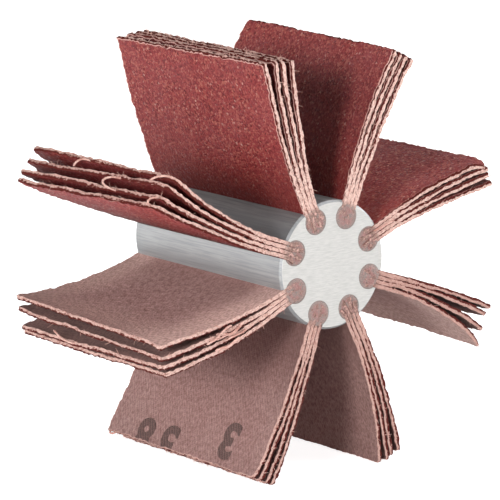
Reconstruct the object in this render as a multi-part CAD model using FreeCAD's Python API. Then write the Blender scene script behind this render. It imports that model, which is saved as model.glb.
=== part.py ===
"""Flap bore polisher: an aluminium hub with eight keyhole slots, and a bundle of grit cloth flaps in each.

Millimetres. The wheel turns about the Y axis. The origin is the mouth of the mandrel hole, in the middle of
the rear face, and the mandrel comes out along +Y. The plain front face looks along -Y, and +Z is up.
"""

import FreeCAD, Part
import math
import os
from collections import namedtuple

os.makedirs("parts", exist_ok=True)
Vector = FreeCAD.Vector

# Hub, a length of round bar
HUB_DIAMETER = 20.0
HUB_LENGTH = 38.0
HUB_CHAMFER = 0.35

# Blind hole in the rear face, tapped M6 for the mandrel
THREAD_WALL_DIAMETER = 5.0
THREAD_LENGTH = 16.0
COUNTERSINK = 0.4
DRILL_POINT_DEG = 118.0

# Keyhole slots, each a drilled hole that opens through a neck to the hub's side
SLOT_COUNT = 8
FIRST_SLOT_DEG = 114.2
SLOT_HOLE_DIAMETER = 4.0
SLOT_HOLE_DEPTH = 2.3
NECK_CLEARANCE = 0.04

# Flaps of grit cloth, four to a slot
FLAPS_PER_SLOT = 4
FLAP_THICKNESS = 0.65
GLUE_FILM = 0.05
NECK_GRIP = 0.25
MOUTH_BEND = 2.0

# Roots, fanned out inside the slot's hole and set in resin
ROOT_WALL_GAP = 0.2
INNER_ROOT_DEG = 27.0
OUTER_ROOT_DEG = 80.0
RESIN_CLEARANCE = 0.02
RESIN_RECESS = 0.1

# Wheel, across the tips of its flaps, and how far its weight presses in the tips that it stands on
WHEEL_DIAMETER = 68.0
STANDING_PRESS = 0.1

# How each bundle has set, clockwise from the first slot. Angles are degrees from the slot's own line, minus
# being clockwise, and pairs run from the counter-clockwise flap to the clockwise one. leave is the direction
# at the slot's mouth, tip the direction of the tips from the axis, reach their distance from it in radii of
# the wheel, and share how far across the bundle the second and third flaps end.
Bundle = namedtuple("Bundle", "leave tip reach share")
BUNDLES = [
    Bundle(leave=(-2.0, -9.0), tip=(-2.9, -11.0), reach=(1.018, 0.971), share=(0.38, 0.68)),
    Bundle(leave=(4.8, -1.0), tip=(-0.7, -6.9), reach=(1.009, 1.003), share=(0.34, 0.65)),
    Bundle(leave=(1.6, -4.8), tip=(-2.4, -8.8), reach=(0.988, 0.982), share=(0.31, 0.62)),
    Bundle(leave=(4.2, 3.6), tip=(1.7, -7.6), reach=(0.988, 0.985), share=(0.22, 0.60)),
    Bundle(leave=(2.2, 1.4), tip=(-2.0, -7.6), reach=(1.0, 1.006), share=(0.36, 0.70)),
    Bundle(leave=(4.8, 1.2), tip=(0.9, -5.2), reach=(1.026, 1.018), share=(0.30, 0.66)),
    Bundle(leave=(3.2, -6.0), tip=(-2.7, -10.3), reach=(1.0, 0.988), share=(0.34, 0.64)),
    Bundle(leave=(1.2, 0.4), tip=(-0.6, -8.9), reach=(1.041, 0.994), share=(0.30, 0.68)),
]

# What follows from the sizes above
HUB_RADIUS = HUB_DIAMETER / 2
WHEEL_RADIUS = WHEEL_DIAMETER / 2
SLOT_HOLE_RADIUS = SLOT_HOLE_DIAMETER / 2
SLOT_CENTRE_RADIUS = HUB_RADIUS - SLOT_HOLE_DEPTH
LAYER_PITCH = FLAP_THICKNESS + GLUE_FILM
STACK_WIDTH = FLAPS_PER_SLOT * FLAP_THICKNESS + (FLAPS_PER_SLOT - 1) * GLUE_FILM
NECK_WIDTH = STACK_WIDTH + 2 * NECK_CLEARANCE
NECK_START = SLOT_CENTRE_RADIUS + math.sqrt(SLOT_HOLE_RADIUS**2 - (NECK_WIDTH / 2) ** 2)
FRONT_Y = -HUB_LENGTH
ALONG_HUB = Vector(0, HUB_LENGTH, 0)

# One piece of a flap's middle line, of steady curvature, walked from its start
Stretch = namedtuple("Stretch", "start heading length curvature")


def direction(heading):
    """Unit vector in the wheel's plane, turned from +X towards +Z."""
    return Vector(math.cos(heading), 0, math.sin(heading))


def place(stretch, walked):
    """Point and heading at a distance along a stretch."""
    heading = stretch.heading + stretch.curvature * walked
    chord_heading = (stretch.heading + heading) / 2
    half_turn = (heading - stretch.heading) / 2
    chord = walked * (math.sin(half_turn) / half_turn if half_turn else 1.0)
    return stretch.start + direction(chord_heading) * chord, heading


def beside(stretch, walked, offset):
    """Point at a distance along a stretch, offset to its counter-clockwise side."""
    point, heading = place(stretch, walked)
    return point + direction(heading + math.pi / 2) * offset


def stretch_to(start, heading, target):
    """The stretch that leaves start along heading and ends at target."""
    chord = target - start
    bend = math.atan2(chord.z, chord.x) - heading
    bend = math.atan2(math.sin(bend), math.cos(bend))
    length = chord.Length * (bend / math.sin(bend) if bend else 1.0)
    return Stretch(start, heading, length, 2 * bend / length)


def backwards(stretch):
    """The same stretch walked from its far end."""
    end, heading = place(stretch, stretch.length)
    return Stretch(end, heading + math.pi, stretch.length, -stretch.curvature)


def edge_along(stretch, offset):
    """Edge that runs beside a stretch at a steady offset."""
    start, middle, end = (beside(stretch, stretch.length * share, offset) for share in (0, 0.5, 1))
    if abs(stretch.curvature) * stretch.length < 1e-6:
        return Part.LineSegment(start, end).toShape()
    return Part.Arc(start, middle, end).toShape()


def band(stretches, thickness):
    """Face of an even thickness about a smooth middle line."""
    half = thickness / 2
    edges = [edge_along(stretch, side) for side in (half, -half) for stretch in stretches]
    for stretch, walked in ((stretches[0], 0), (stretches[-1], stretches[-1].length)):
        ends = [beside(stretch, walked, side) for side in (half, -half)]
        edges.append(Part.LineSegment(*ends).toShape())
    return Part.Face(Part.Wire(Part.__sortEdges__(edges)))


def slot_heading(slot):
    """Direction of a slot's own line from the axis."""
    return math.radians(FIRST_SLOT_DEG - slot * 360.0 / SLOT_COUNT)


def in_slot(slot, outward, across):
    """Point on the front face at a distance out along a slot's line and across it, counter-clockwise."""
    heading = slot_heading(slot)
    middle = direction(heading) * outward + direction(heading + math.pi / 2) * across
    return middle + Vector(0, FRONT_Y, 0)


def across_bundle(pair, share):
    """Value between a pair's counter-clockwise and clockwise ones."""
    return pair[0] + (pair[1] - pair[0]) * share


def flap_middle_line(slot, layer):
    """Root, grip and free length of one flap, as stretches from the root's end to the tip."""
    bundle = BUNDLES[slot % len(BUNDLES)]
    heading = slot_heading(slot)
    last = FLAPS_PER_SLOT - 1
    side = 1 - 2 * layer / last
    across = side * last * LAYER_PITCH / 2

    # The root bends away from the slot's line to its own place round the hole
    outermost = layer in (0, last)
    turn = math.copysign(math.radians(OUTER_ROOT_DEG if outermost else INNER_ROOT_DEG), side)
    root_radius = SLOT_HOLE_RADIUS - ROOT_WALL_GAP - FLAP_THICKNESS / 2
    root_end = in_slot(slot, SLOT_CENTRE_RADIUS - root_radius * math.cos(turn), root_radius * math.sin(turn))
    grip_start = in_slot(slot, NECK_START, across)
    root = backwards(stretch_to(grip_start, heading + math.pi, root_end))

    # The neck grips it straight as far as the hub's side
    grip_length = HUB_RADIUS + NECK_GRIP - NECK_START
    grip = Stretch(grip_start, heading, grip_length, 0.0)

    # A short bend at the mouth, then one long curl to the tip
    share = (0.0, *bundle.share, 1.0)[layer]
    leave = math.radians(across_bundle(bundle.leave, layer / last))
    tip_heading = heading + math.radians(across_bundle(bundle.tip, share))
    reach = WHEEL_RADIUS * across_bundle(bundle.reach, share)
    tip = direction(tip_heading) * reach + Vector(0, FRONT_Y, 0)
    mouth = Stretch(place(grip, grip_length)[0], heading, MOUTH_BEND, leave / MOUTH_BEND)
    curl_start, curl_heading = place(mouth, MOUTH_BEND)
    return [root, grip, mouth, stretch_to(curl_start, curl_heading, tip)]


def flap(slot, layer):
    """One flap, as wide as the hub is long."""
    return band(flap_middle_line(slot, layer), FLAP_THICKNESS).extrude(ALONG_HUB)


def ground_level(bundles):
    """Height of the ground when the wheel stands on its two lowest bundles."""
    lowest = sorted(min(sheet.BoundBox.ZMin for sheet in flaps) for flaps in bundles)
    return lowest[1] + STANDING_PRESS


def pressed_level(sheet, ground):
    """A flap with what would reach below the ground taken off its tip."""
    box = sheet.BoundBox
    if box.ZMin >= ground:
        return sheet
    corner = Vector(box.XMin, box.YMin, box.ZMin)
    return sheet.cut(Part.makeBox(box.XLength, box.YLength, ground - box.ZMin, corner))


def slot_bar(slot, nearest, farthest, width):
    """Straight-sided bar along a slot's line, the full length of the hub, for cutting."""
    half = width / 2
    outline = ((nearest, -half), (farthest, -half), (farthest, half), (nearest, half))
    corners = [in_slot(slot, outward, across) for outward, across in outline]
    return Part.Face(Part.makePolygon(corners + corners[:1])).extrude(ALONG_HUB)


def slot_cutter(slot):
    """Round hole and neck of one keyhole slot, the full length of the hub."""
    middle = in_slot(slot, SLOT_CENTRE_RADIUS, 0)
    hole = Part.makeCylinder(SLOT_HOLE_RADIUS, HUB_LENGTH, middle, Vector(0, 1, 0))
    return hole.fuse(slot_bar(slot, SLOT_CENTRE_RADIUS, HUB_DIAMETER, NECK_WIDTH))


def turned(points):
    """Solid of revolution about the wheel's axis, from (radius, y) points."""
    corners = [Vector(radius, y, 0) for radius, y in points]
    profile = Part.Face(Part.makePolygon(corners + corners[:1]))
    return profile.revolve(Vector(0, 0, 0), Vector(0, 1, 0), 360)


def mandrel_hole():
    """Countersink, thread wall and drill point of the hole in the rear face."""
    wall = THREAD_WALL_DIAMETER / 2
    point = wall / math.tan(math.radians(DRILL_POINT_DEG / 2))
    return turned(
        [
            (0, 0),
            (wall + COUNTERSINK, 0),
            (wall, -COUNTERSINK),
            (wall, -COUNTERSINK - THREAD_LENGTH),
            (0, -COUNTERSINK - THREAD_LENGTH - point),
        ]
    )


def hub():
    """Chamfered bar with its keyhole slots and mandrel hole."""
    rim = HUB_RADIUS - HUB_CHAMFER
    bar = turned(
        [
            (0, 0),
            (rim, 0),
            (HUB_RADIUS, -HUB_CHAMFER),
            (HUB_RADIUS, FRONT_Y + HUB_CHAMFER),
            (rim, FRONT_Y),
            (0, FRONT_Y),
        ]
    )
    for slot in range(SLOT_COUNT):
        bar = bar.cut(slot_cutter(slot))
    return bar.cut(mandrel_hole())


def resin_bead(slot, flaps):
    """Resin that fills a slot's hole round the flap roots."""
    radius = SLOT_HOLE_RADIUS - RESIN_CLEARANCE
    start = in_slot(slot, SLOT_CENTRE_RADIUS, 0) + Vector(0, RESIN_RECESS, 0)
    bead = Part.makeCylinder(radius, HUB_LENGTH - 2 * RESIN_RECESS, start, Vector(0, 1, 0))
    # It ends where the neck begins
    neck = slot_bar(slot, NECK_START, HUB_DIAMETER, SLOT_HOLE_DIAMETER)
    for cutter in (neck, *flaps):
        bead = bead.cut(cutter)
    return bead


def export(shape, name):
    """Write one named piece."""
    shape.exportStep(f"parts/{name}.step")


def main():
    """Build the hub, the flaps and the resin, each as its own piece."""
    export(hub(), "hub")
    bundles = [[flap(slot, layer) for layer in range(FLAPS_PER_SLOT)] for slot in range(SLOT_COUNT)]
    ground = ground_level(bundles)
    for slot, flaps in enumerate(bundles):
        for layer, sheet in enumerate(flaps):
            export(pressed_level(sheet, ground), f"flap_{slot + 1}_{layer + 1}")
        export(resin_bead(slot, flaps), f"resin_bead_{slot + 1}")


main()
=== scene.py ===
"""Looks of the flap bore polisher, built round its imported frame.

Each flap is cut flat from grit cloth, gets ragged edges, and is then bent along the middle line of its CAD
node. Fibres and yarns hang from the cut edges, resin fills the hub's slots, and the hub keeps its CAD shape.
Lengths are in metres, and in millimetres where a name ends in _mm, as the cloth's own coordinates are.
"""

import logging
import math
from collections.abc import Callable, Iterator
from contextlib import contextmanager
from dataclasses import dataclass, field
from enum import Enum, IntEnum
from functools import partialmethod

import bmesh
import bpy
import numpy as np
from mathutils import Matrix, Vector


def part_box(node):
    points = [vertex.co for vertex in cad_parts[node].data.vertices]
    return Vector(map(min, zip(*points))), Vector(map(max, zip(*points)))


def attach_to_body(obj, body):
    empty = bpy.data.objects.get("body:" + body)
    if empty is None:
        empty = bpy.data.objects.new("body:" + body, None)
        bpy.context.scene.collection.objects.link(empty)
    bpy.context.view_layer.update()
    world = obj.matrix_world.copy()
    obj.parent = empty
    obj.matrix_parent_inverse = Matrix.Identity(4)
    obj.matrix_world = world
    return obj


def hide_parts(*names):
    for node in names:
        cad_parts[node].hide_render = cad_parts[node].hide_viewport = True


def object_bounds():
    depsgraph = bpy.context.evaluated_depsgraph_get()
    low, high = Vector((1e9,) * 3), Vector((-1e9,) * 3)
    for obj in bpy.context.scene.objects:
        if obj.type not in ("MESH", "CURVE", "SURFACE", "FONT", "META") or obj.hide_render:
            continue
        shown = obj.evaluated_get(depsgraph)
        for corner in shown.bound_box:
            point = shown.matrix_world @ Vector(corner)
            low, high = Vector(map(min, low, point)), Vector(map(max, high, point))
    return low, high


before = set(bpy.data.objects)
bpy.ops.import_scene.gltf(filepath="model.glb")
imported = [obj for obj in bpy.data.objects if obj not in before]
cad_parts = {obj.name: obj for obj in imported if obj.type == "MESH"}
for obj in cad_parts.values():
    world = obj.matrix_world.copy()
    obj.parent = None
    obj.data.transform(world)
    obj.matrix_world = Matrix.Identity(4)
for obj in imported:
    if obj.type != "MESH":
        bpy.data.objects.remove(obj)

log = logging.getLogger("flap_bore_polisher")

MM = 0.001
BODY = "root"
BUNDLES = range(1, 9)
LAYERS = range(1, 5)
CAD_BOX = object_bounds()
FLOOR = CAD_BOX[0].z
HUB_LOW, HUB_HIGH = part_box("hub")
HUB_RADIUS = HUB_HIGH.x
HUB_LENGTH = HUB_HIGH.y - HUB_LOW.y
TWILL = {"Rib": 0.64, "Lean": 0.72}  # width of a rib in millimetres, and its slope
WELD = 0.001 * MM  # within this distance, two vertices are one
TINY = 1e-9  # keeps a division from a zero

Colour = tuple[float, float, float, float]
Socket = bpy.types.NodeSocket


def srgb(red: int, green: int, blue: int) -> Colour:
    """Turn a colour as a screen shows it into the linear one that a shader reads."""
    shares = (red / 255, green / 255, blue / 255)
    linear = [c / 12.92 if c <= 0.04045 else ((c + 0.055) / 1.055) ** 2.4 for c in shares]
    return (*linear, 1.0)


def smooth_step(low: float, high: float, value: np.ndarray) -> np.ndarray:
    """Rise smoothly from 0 at low to 1 at high."""
    share = np.clip((value - low) / (high - low), 0.0, 1.0)
    return share * share * (3.0 - 2.0 * share)


def random_surface(seed: int, across: np.ndarray, along: np.ndarray) -> np.ndarray:
    """Smooth random values from -1 to 1 over a plane, the same on each run.

    Args:
        seed: picks the surface.
        across: places across, in units of one hump.
        along: places along, in units of one hump.

    Returns:
        One value for each place.
    """
    cells = np.random.default_rng(seed).uniform(-1.0, 1.0, (64, 256))
    row, column = np.floor(across).astype(int), np.floor(along).astype(int)
    down, right = smooth_step(0.0, 1.0, across - row), smooth_step(0.0, 1.0, along - column)

    def cell(step_down: int, step_right: int) -> np.ndarray:
        return cells[(row + step_down) % 64, (column + step_right) % 256]

    near = cell(0, 0) * (1 - right) + cell(0, 1) * right
    far = cell(1, 0) * (1 - right) + cell(1, 1) * right
    return near * (1 - down) + far * down


def start_afresh() -> None:
    """Leave edit mode and deselect everything, so that the next operator acts on nothing else."""
    if bpy.context.object and bpy.context.object.mode != "OBJECT":
        bpy.ops.object.mode_set(mode="OBJECT")
    bpy.ops.object.select_all(action="DESELECT")


@contextmanager
def editing(select: str) -> Iterator[None]:
    """Edit the active object's mesh.

    Args:
        select: SELECT or DESELECT, for all its elements at the start.
    """
    bpy.ops.object.mode_set(mode="EDIT")
    bpy.ops.mesh.select_all(action=select)
    yield
    bpy.ops.object.mode_set(mode="OBJECT")


def subdivide_edges(is_chosen: Callable[[bmesh.types.BMEdge], bool], cuts: int) -> None:
    """Subdivide chosen edges of the active object's mesh.

    Args:
        is_chosen: says whether an edge is chosen.
        cuts: the number of cuts of each.
    """
    with editing("DESELECT"):
        bpy.ops.mesh.select_mode(type="EDGE")
        solid = bmesh.from_edit_mesh(bpy.context.active_object.data)
        for edge in solid.edges:
            edge.select_set(is_chosen(edge))
        solid.select_flush(False)
        bpy.ops.mesh.subdivide(number_cuts=cuts)


def apply_modifier(kind: str, **settings: object) -> None:
    """Put a modifier on the active object and apply it.

    Args:
        kind: the modifier's type.
        settings: its properties, by name.
    """
    bpy.ops.object.modifier_add(type=kind)
    modifier = bpy.context.active_object.modifiers[-1]
    for name, value in settings.items():
        setattr(modifier, name, value)
    bpy.ops.object.modifier_apply(modifier=modifier.name)


def new_object(name: str, data: bpy.types.ID) -> bpy.types.Object:
    """Put a new object with this data in the scene."""
    made = bpy.data.objects.new(name, data)
    bpy.context.scene.collection.objects.link(made)
    return made


def coordinates_of(mesh: bpy.types.Mesh) -> np.ndarray:
    """Vertex places of a mesh, one row each."""
    flat = np.empty(len(mesh.vertices) * 3)
    mesh.vertices.foreach_get("co", flat)
    return flat.reshape(-1, 3)


def put_coordinates(mesh: bpy.types.Mesh, places: np.ndarray) -> None:
    """Move the vertices of a mesh to new places."""
    mesh.vertices.foreach_set("co", places.ravel())
    mesh.update()


def put_attribute(mesh: bpy.types.Mesh, name: str, values: np.ndarray) -> None:
    """Store a number or a vector for each vertex.

    Args:
        mesh: the mesh.
        name: the name under which a material reads it.
        values: a value or a row for each vertex.
    """
    is_vector = values.ndim == 2
    attribute = mesh.attributes.new(name, "FLOAT_VECTOR" if is_vector else "FLOAT", "POINT")
    attribute.data.foreach_set("vector" if is_vector else "value", values.ravel().astype(np.float32))


class NodeSketch:
    """Adds and joins the nodes of one tree."""

    def __init__(self, tree: bpy.types.NodeTree) -> None:
        """Start on an empty tree."""
        self.tree = tree
        tree.nodes.clear()

    def feed(self, socket: Socket, value: object) -> None:
        """Join an output socket to an input, or set the input to a plain value."""
        if isinstance(value, bpy.types.NodeSocket):
            self.tree.links.new(value, socket)
        elif value is not None:
            socket.default_value = value

    def add(
        self, kind: str, settings: dict[str, object] | None = None, *values: object, **inputs: object
    ) -> bpy.types.Node:
        """Add a node.

        Args:
            kind: the node's type without its ShaderNode prefix.
            settings: the node's own properties.
            values: values or output sockets for the first inputs, in order.
            inputs: values or output sockets, by input name with an underscore for each space.

        Returns:
            The new node.
        """
        node = self.tree.nodes.new("ShaderNode" + kind)
        for name, value in (settings or {}).items():
            setattr(node, name, value)
        for socket, value in zip(node.inputs, values):
            self.feed(socket, value)
        for name, value in inputs.items():
            self.feed(node.inputs[name.replace("_", " ")], value)
        return node

    def maths(self, operation: str, *values: object) -> Socket:
        """Add a Math node and give its result."""
        return self.add("Math", {"operation": operation}, *values).outputs[0]

    plus = partialmethod(maths, "ADD")
    minus = partialmethod(maths, "SUBTRACT")
    times = partialmethod(maths, "MULTIPLY")
    over = partialmethod(maths, "DIVIDE")
    scaled = partialmethod(maths, "MULTIPLY_ADD")  # takes a value, its factor and what is added

    def stretched(self, place: object, factors: tuple[float, float, float]) -> Socket:
        """Multiply a place by a factor for each axis."""
        return self.add("VectorMath", {"operation": "MULTIPLY"}, place, factors).outputs[0]

    def parts(self, vector: object) -> tuple[Socket, ...]:
        """Give a vector's three parts."""
        return tuple(self.add("SeparateXYZ", None, vector).outputs)

    def stored(self, name: str, output: str = "Vector") -> Socket:
        """Read what put_attribute stored under a name."""
        return self.add("Attribute", {"attribute_name": name}).outputs[output]

    def own_place(self) -> Socket:
        """Give the place in the object's own coordinates, in metres."""
        return self.add("TexCoord").outputs["Object"]

    def mixed(self, share: object, first: object, second: object, blend: str = "MIX") -> Socket:
        """Mix two colours."""
        node = self.add("Mix", {"data_type": "RGBA", "blend_type": blend})
        for index, value in ((0, share), (6, first), (7, second)):
            self.feed(node.inputs[index], value)
        return node.outputs[2]

    def between(self, value: object, low: float, high: float, first: float = 0.0, last: float = 1.0) -> Socket:
        """Map a range of values smoothly on to another."""
        return self.add(
            "MapRange",
            {"interpolation_type": "SMOOTHSTEP"},
            Value=value, From_Min=low, From_Max=high, To_Min=first, To_Max=last,
        ).outputs[0]

    def noise(self, place: object, size: float, detail: float = 2.0, roughness: float = 0.55) -> Socket:
        """Give soft noise whose features are about as large as size, in the place's own units."""
        node = self.add("TexNoise", None, Vector=place, Scale=1.0 / size, Detail=detail, Roughness=roughness)
        return node.outputs["Fac"]

    def ramp(self, value: object, *stops: tuple[float, Colour]) -> Socket:
        """Give the colour that a value has between stops."""
        node = self.add("ValToRGB", None, Fac=value)
        elements = node.color_ramp.elements
        while len(elements) < len(stops):
            elements.new(1.0)
        for element, (position, colour) in zip(elements, stops):
            element.position = position
            element.color = colour
        return node.outputs["Color"]

    def bump(self, height: object, depth: float, strength: float = 1.0) -> Socket:
        """Give the normal of a surface with a height, depth metres deep."""
        return self.add("Bump", None, Height=height, Distance=depth, Strength=strength).outputs["Normal"]


@dataclass
class Effect:
    """A shader node group that several finishes share."""

    name: str
    takes: tuple[tuple[str, str], ...]
    gives: tuple[tuple[str, str], ...]
    sketch: NodeSketch = field(init=False)
    source: bpy.types.Node = field(init=False)

    def __post_init__(self) -> None:
        """Make the group with its sockets."""
        tree = bpy.data.node_groups.new(self.name, "ShaderNodeTree")
        for sockets, side in ((self.takes, "INPUT"), (self.gives, "OUTPUT")):
            for name, kind in sockets:
                tree.interface.new_socket(name=name, in_out=side, socket_type="NodeSocket" + kind)
        self.sketch = NodeSketch(tree)
        self.source = tree.nodes.new("NodeGroupInput")

    def taken(self, name: str) -> Socket:
        """The group's own input of a name."""
        return self.source.outputs[name]

    def give(self, **values: Socket) -> None:
        """Join the group's outputs, by name."""
        sink = self.sketch.tree.nodes.new("NodeGroupOutput")
        for name, value in values.items():
            self.sketch.feed(sink.inputs[name], value)

    def placed(self, sketch: NodeSketch, **inputs: object) -> dict[str, Socket]:
        """Put the group in a material.

        Args:
            sketch: the material's nodes.
            inputs: values or sockets for the group's inputs, by name.

        Returns:
            The group's outputs by name.
        """
        node = sketch.tree.nodes.new("ShaderNodeGroup")
        node.node_tree = self.sketch.tree
        for name, value in inputs.items():
            sketch.feed(node.inputs[name], value)
        return {socket.name: socket for socket in node.outputs}


class Effects:
    """The effects that the finishes share, each made once."""

    def __init__(self) -> None:
        """Make every group."""
        self.grains = self.make_grains()
        self.twill = self.make_twill()
        self.mottle = self.make_mottle()
        self.fray = self.make_fray()

    @staticmethod
    def make_grains() -> Effect:
        """Close-set grains, each with its own tone and height."""
        effect = Effect(
            "Grains",
            (("Place", "Vector"), ("Size", "Float")),
            (("Tone", "Float"), ("Height", "Float"), ("Glint", "Float")),
        )
        nodes = effect.sketch
        scale = nodes.over(1.0, effect.taken("Size"))
        cell = nodes.add("TexVoronoi", None, Vector=effect.taken("Place"), Scale=scale)
        random = nodes.add("SeparateColor", None, Color=cell.outputs["Color"])
        dome = nodes.minus(1.0, cell.outputs["Distance"])
        height = nodes.scaled(random.outputs["Blue"], 0.7, dome)
        glint = nodes.maths("GREATER_THAN", random.outputs["Green"], 0.86)
        effect.give(Tone=random.outputs["Red"], Height=height, Glint=glint)
        return effect

    @staticmethod
    def make_twill() -> Effect:
        """Twill weave: ribs that lean across the cloth, crossed by single yarns."""
        effect = Effect(
            "Twill",
            (("Place", "Vector"), ("Rib", "Float"), ("Lean", "Float")),
            (("Height", "Float"), ("Groove", "Float")),
        )
        nodes = effect.sketch
        turn = 2 * math.pi
        x, y, _ = nodes.parts(effect.taken("Place"))
        drift = nodes.times(nodes.noise(effect.taken("Place"), 2.2), 0.5)
        leaning = nodes.times(y, effect.taken("Lean"))
        across = nodes.over(nodes.minus(x, leaning), effect.taken("Rib"))
        rib = nodes.maths("SINE", nodes.times(nodes.plus(across, drift), turn))
        along = nodes.over(y, nodes.times(effect.taken("Rib"), 0.46))
        yarn = nodes.maths("SINE", nodes.times(nodes.plus(along, drift), turn))
        height = nodes.scaled(yarn, 0.3, rib)
        groove = nodes.between(height, -0.2, -1.0)
        effect.give(Height=height, Groove=groove)
        return effect

    @staticmethod
    def make_mottle() -> Effect:
        """Broad soft patches with finer ones in them."""
        effect = Effect("Mottle", (("Place", "Vector"), ("Size", "Float")), (("Patch", "Float"), ("Fleck", "Float")))
        nodes = effect.sketch
        scale = nodes.over(1.0, effect.taken("Size"))
        place = nodes.add("VectorMath", {"operation": "SCALE"}, effect.taken("Place"), Scale=scale).outputs[0]
        patch = nodes.between(nodes.noise(place, 1.0, 3.0), 0.32, 0.68)
        fleck = nodes.between(nodes.noise(place, 0.06, 2.0, 0.7), 0.42, 0.66)
        effect.give(Patch=patch, Fleck=fleck)
        return effect

    @staticmethod
    def make_fray() -> Effect:
        """Uneven strip along a cut edge, 1 where the cut has bared the cloth's fibres."""
        effect = Effect(
            "Fray",
            (("Place", "Vector"), ("Edge", "Float"), ("Width", "Float")),
            (("Bare", "Float"), ("Fibre", "Float")),
        )
        nodes = effect.sketch
        ragged = nodes.noise(effect.taken("Place"), 0.5, 3.0, 0.7)
        reach = nodes.times(ragged, nodes.times(effect.taken("Width"), 2.0))
        bare = nodes.between(nodes.minus(reach, effect.taken("Edge")), -0.04, 0.04)
        stretched = nodes.stretched(effect.taken("Place"), (3.0, 3.0, 8.0))
        fibre = nodes.noise(stretched, 0.8, 3.0, 0.7)
        effect.give(Bare=bare, Fibre=fibre)
        return effect


def new_material(name: str) -> NodeSketch:
    """Make an empty node material and give the sketch of its nodes."""
    material = bpy.data.materials.new(name)
    material.use_nodes = True
    return NodeSketch(material.node_tree)


def surface(nodes: NodeSketch, **inputs: object) -> None:
    """Finish a material with one Principled shader that takes these inputs."""
    shader = nodes.add("BsdfPrincipled", None, **inputs)
    nodes.add("OutputMaterial", None, Surface=shader.outputs["BSDF"])


@dataclass(frozen=True)
class Cloth:
    """What a material reads of the cloth, as Flap.mark_places stores it.

    The place is on the flat cut cloth, across, along and through it. Distances are in millimetres, from the
    slot's mouth, the tip and the nearest cut edge. The rest is what differs between lots: the tint, which is mostly
    painted light and shade, the coat's share of the cut edge, widened with painted shade, how clear the weave is,
    and the cut edge's dirt.
    """

    place: Socket
    mouth: Socket
    tip: Socket
    edge: Socket
    tint: Socket
    coat: Socket
    weave: Socket
    grime: Socket

    @classmethod
    def read(cls, nodes: NodeSketch) -> "Cloth":
        """Read the cloth in a material."""
        reach, lot = nodes.parts(nodes.stored("reach_mm")), nodes.parts(nodes.stored("cloth_lot"))
        return cls(nodes.stored("cut_mm"), *reach, nodes.stored("tint_and_painted_shade"), *lot)

    def tinted(self, nodes: NodeSketch, colour: Socket) -> Socket:
        """Multiply a colour by the lot's tint, which holds painted light and shade."""
        return nodes.mixed(1.0, colour, self.tint, "MULTIPLY")


class Recipe:
    """A finish: its colours, and the nodes that they go into."""

    NAME = ""

    def draw(self, nodes: NodeSketch, effects: Effects) -> None:
        """Draw the nodes."""
        raise NotImplementedError

    def make(self, effects: Effects) -> None:
        """Make the material."""
        self.draw(new_material(self.NAME), effects)


@dataclass(frozen=True)
class GritCoat(Recipe):
    """Aluminium oxide grit, bonded to the cloth in red-brown resin, with painted shade near the hub and painted
    highlights on the palest grains.
    """

    NAME = "grit_coat"

    grain_mm: float = 0.3
    clump_mm: float = 1.1
    patch_mm: float = 10.0
    fray_mm: float = 0.2
    # painted shade near the hub: the cloth darkens within this distance of the slot's mouth
    hub_shade_mm: float = 13.0
    relief: float = 0.1 * MM
    shadow: Colour = srgb(84, 26, 27)
    body: Colour = srgb(148, 56, 60)
    warm: Colour = srgb(174, 80, 72)
    light: Colour = srgb(202, 122, 106)
    painted_glint: Colour = srgb(230, 182, 168)
    dusty: Colour = srgb(168, 90, 92)
    # deep is the colour of the painted shade near the hub
    deep: Colour = srgb(122, 38, 32)
    bared: Colour = srgb(224, 178, 168)

    def draw(self, nodes: NodeSketch, effects: Effects) -> None:
        """Draw the nodes of a flap's grit side."""
        cloth = Cloth.read(nodes)
        place = cloth.place
        grains = effects.grains.placed(nodes, Place=place, Size=self.grain_mm)
        mottle = effects.mottle.placed(nodes, Place=place, Size=self.patch_mm)
        fray = effects.fray.placed(nodes, Place=place, Edge=cloth.edge, Width=self.fray_mm)
        # The ramp's pale top, the light and facet stops, is painted highlight: the palest grains stand for facets
        # catching the light.
        grain = nodes.ramp(
            grains["Tone"],
            (0.0, self.shadow), (0.3, self.body), (0.7, self.warm),
            (0.93, self.light), (0.975, self.light), (1.0, self.painted_glint),
        )
        clump = nodes.between(nodes.noise(place, self.clump_mm, 2.0, 0.6), 0.38, 0.62)
        settled = nodes.mixed(nodes.scaled(clump, 0.3, 0.16), grain, self.body)
        dusty = nodes.mixed(nodes.times(mottle["Patch"], 0.32), settled, self.dusty)
        # Painted shade: darker towards the hub, where the flaps crowd together
        soaked = nodes.mixed(nodes.between(cloth.mouth, self.hub_shade_mm, -1.0, 0.0, 0.62), dusty, self.deep)
        gloss = nodes.scaled(grains["Glint"], -0.3, 0.58)
        bare = nodes.times(fray["Bare"], nodes.between(cloth.coat, 0.46, 0.3))
        surface(
            nodes,
            Base_Color=nodes.mixed(bare, cloth.tinted(nodes, soaked), self.bared),
            Roughness=nodes.plus(gloss, nodes.times(bare, 0.3)),
            Specular_IOR_Level=0.2,
            Normal=nodes.bump(grains["Height"], self.relief),
        )


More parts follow.
